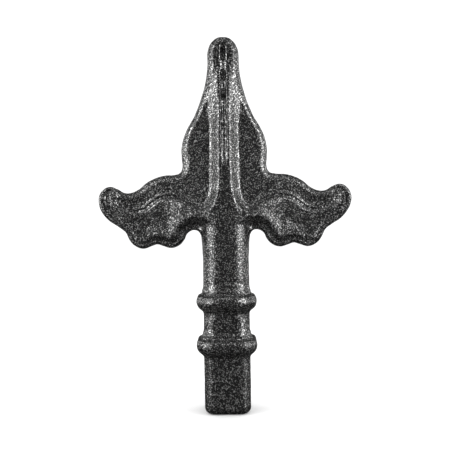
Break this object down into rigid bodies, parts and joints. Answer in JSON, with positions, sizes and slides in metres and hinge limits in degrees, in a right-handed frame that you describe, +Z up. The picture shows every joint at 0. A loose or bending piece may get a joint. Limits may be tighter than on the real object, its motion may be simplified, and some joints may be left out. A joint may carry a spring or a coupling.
{
  "type": "railing finial",
  "caption": "Forged railing finial: a ribbed leaf blade over two scrolled wings, on a square shank with two rounded collars, made to be welded on top of a picket.",
  "frame": {"origin": "centre of the flat lower end of the square shank, where it is welded to the picket", "axes": "+Z up the shank to the tip, X along the two wings, Y through the leaf from front to back"},
  "size_m": [0.1096, 0.0262, 0.1616],
  "materials": {
    "dark_forged_iron": "bare dark grey forged iron, oiled, finely pitted, brighter on worn edges"
  },
  "bodies": {
    "root": {"finial": "dark_forged_iron"}
  },
  "joints": []
}
